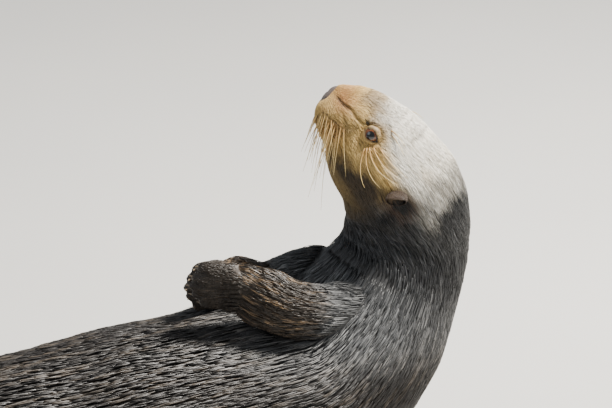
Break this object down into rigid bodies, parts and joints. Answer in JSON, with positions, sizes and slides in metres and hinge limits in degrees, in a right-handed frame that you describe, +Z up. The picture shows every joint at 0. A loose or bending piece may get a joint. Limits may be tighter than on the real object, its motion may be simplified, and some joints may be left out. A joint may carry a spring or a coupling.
{
  "type": "sea otter model",
  "caption": "Life-size sea otter lying on its back, head raised and turned, forepaws held together on the chest, hind flippers spread and tail laid flat.",
  "frame": {"origin": "on the flat of the back under the ribs, on the floor", "axes": "+X from the tail towards the head end, +Z up out of the belly, so the animal's left side is at -Y"},
  "size_m": [1.0425, 0.3988, 0.3595],
  "materials": {
    "pale_fur": "pale cream fur of the head, damp and close",
    "brown_fur": "grey-brown fur of the neck and ears, wet and streaked",
    "dark_fur": "wet dark brown fur of the body and limbs",
    "nose_skin": "bare, wet, pebbled skin",
    "eye": "dark brown, wet and glossy",
    "claw": "dull dark horn"
  },
  "bodies": {
    "root": {"tail": "dark_fur", "rump": "dark_fur", "belly": "dark_fur", "chest": "dark_fur", "neck": "brown_fur", "head": "pale_fur", "nose_pad": "nose_skin", "eye_left": "eye", "ear_left": "brown_fur", "eye_right": "eye", "ear_right": "brown_fur", "foreleg_left": "dark_fur", "forepaw_left": "dark_fur", "forepaw_left_claw_1": "claw", "forepaw_left_claw_2": "claw", "forepaw_left_claw_3": "claw", "forepaw_left_claw_4": "claw", "forepaw_left_claw_5": "claw", "hind_leg_left": "dark_fur", "flipper_left": "dark_fur", "flipper_left_claw_1": "claw", "flipper_left_claw_2": "claw", "flipper_left_claw_3": "claw", "flipper_left_claw_4": "claw", "flipper_left_claw_5": "claw", "foreleg_right": "dark_fur", "forepaw_right": "dark_fur", "forepaw_right_claw_1": "claw", "forepaw_right_claw_2": "claw", "forepaw_right_claw_3": "claw", "forepaw_right_claw_4": "claw", "forepaw_right_claw_5": "claw", "hind_leg_right": "dark_fur", "flipper_right": "dark_fur", "flipper_right_claw_1": "claw", "flipper_right_claw_2": "claw", "flipper_right_claw_3": "claw", "flipper_right_claw_4": "claw", "flipper_right_claw_5": "claw"}
  },
  "joints": []
}
